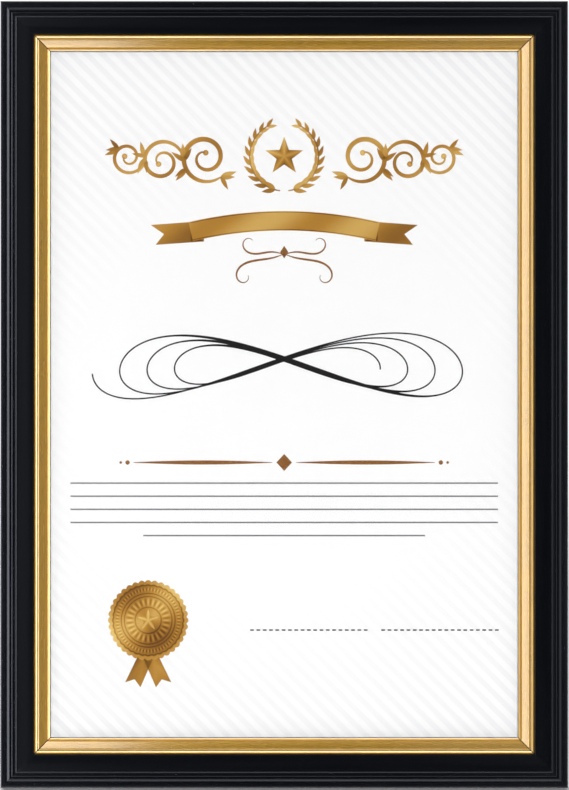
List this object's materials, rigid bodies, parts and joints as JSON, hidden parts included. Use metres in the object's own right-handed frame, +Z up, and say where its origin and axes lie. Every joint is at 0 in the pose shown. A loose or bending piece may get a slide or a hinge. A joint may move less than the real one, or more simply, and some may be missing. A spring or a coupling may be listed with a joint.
{
  "type": "certificate frame",
  "caption": "Black moulded frame with a gilt inner slip, glass, a printed certificate, and a back board with an easel strut, turn buttons and hangers.",
  "frame": {"origin": "on the table, midway between the ends of the bottom rail, and midway between the front of the frame and the back of the strut's foot", "axes": "+X to the right of someone in front of the frame, +Y to the back, +Z up; the frame leans back by 14 degrees and its face looks along -Y"},
  "size_m": [0.2328, 0.0977, 0.3168],
  "materials": {
    "black_moulding": "black foiled moulding, satin to semi-gloss",
    "gilt_foil": "hot-stamped gold foil on moulding",
    "zinc_plate": "bright zinc plate",
    "bright_steel": "plain bright",
    "float_glass": "clear float glass",
    "white_card": "smooth white certificate paper",
    "black_fibreboard": "fibreboard faced with black paper"
  },
  "bodies": {
    "frame": {"rail_bottom": "black_moulding", "rail_left": "black_moulding", "rail_top": "black_moulding", "rail_right": "black_moulding", "gilt_slip_bottom": "gilt_foil", "gilt_slip_left": "gilt_foil", "gilt_slip_top": "gilt_foil", "gilt_slip_right": "gilt_foil", "corner_wedges": "bright_steel", "glazing": "float_glass", "certificate": "white_card", "back_board": "black_fibreboard", "turn_button_screws": "bright_steel", "hanger_portrait": "zinc_plate", "hanger_landscape": "zinc_plate", "hanger_nails": "bright_steel", "hinge_board_leaf": "zinc_plate", "hinge_pin": "bright_steel", "hinge_board_rivets": "bright_steel"},
    "strut": {"strut": "black_fibreboard", "hinge_strut_leaf": "zinc_plate", "hinge_strut_rivets": "bright_steel"},
    "turn_button_1": {"turn_button_1": "zinc_plate"},
    "turn_button_2": {"turn_button_2": "zinc_plate"},
    "turn_button_3": {"turn_button_3": "zinc_plate"},
    "turn_button_4": {"turn_button_4": "zinc_plate"},
    "turn_button_5": {"turn_button_5": "zinc_plate"},
    "turn_button_6": {"turn_button_6": "zinc_plate"},
    "turn_button_7": {"turn_button_7": "zinc_plate"},
    "turn_button_8": {"turn_button_8": "zinc_plate"}
  },
  "joints": [
    {"name": "strut_fold", "type": "hinge", "parent": "frame", "child": "strut", "pos_m": [0, 0.01445, 0.18881], "axis": [-1, 0, 0], "range_deg": [0, 24]},
    {"name": "turn_button_1_turn", "type": "hinge", "parent": "frame", "child": "turn_button_1", "pos_m": [0.072, -0.03277, 0.00623], "axis": [0, 0.9703, -0.2419], "range_deg": [-90, 90]},
    {"name": "turn_button_2_turn", "type": "hinge", "parent": "frame", "child": "turn_button_2", "pos_m": [-0.072, -0.03277, 0.00623], "axis": [0, 0.9703, -0.2419], "range_deg": [-90, 90]},
    {"name": "turn_button_3_turn", "type": "hinge", "parent": "frame", "child": "turn_button_3", "pos_m": [-0.11003, -0.01655, 0.07127], "axis": [0, 0.9703, -0.2419], "range_deg": [-90, 90]},
    {"name": "turn_button_4_turn", "type": "hinge", "parent": "frame", "child": "turn_button_4", "pos_m": [-0.11003, 0.02602, 0.24204], "axis": [0, 0.9703, -0.2419], "range_deg": [-90, 90]},
    {"name": "turn_button_5_turn", "type": "hinge", "parent": "frame", "child": "turn_button_5", "pos_m": [-0.072, 0.04224, 0.30708], "axis": [0, 0.9703, -0.2419], "range_deg": [-90, 90]},
    {"name": "turn_button_6_turn", "type": "hinge", "parent": "frame", "child": "turn_button_6", "pos_m": [0.072, 0.04224, 0.30708], "axis": [0, 0.9703, -0.2419], "range_deg": [-90, 90]},
    {"name": "turn_button_7_turn", "type": "hinge", "parent": "frame", "child": "turn_button_7", "pos_m": [0.11003, 0.02602, 0.24204], "axis": [0, 0.9703, -0.2419], "range_deg": [-90, 90]},
    {"name": "turn_button_8_turn", "type": "hinge", "parent": "frame", "child": "turn_button_8", "pos_m": [0.11003, -0.01655, 0.07127], "axis": [0, 0.9703, -0.2419], "range_deg": [-90, 90]}
  ]
}
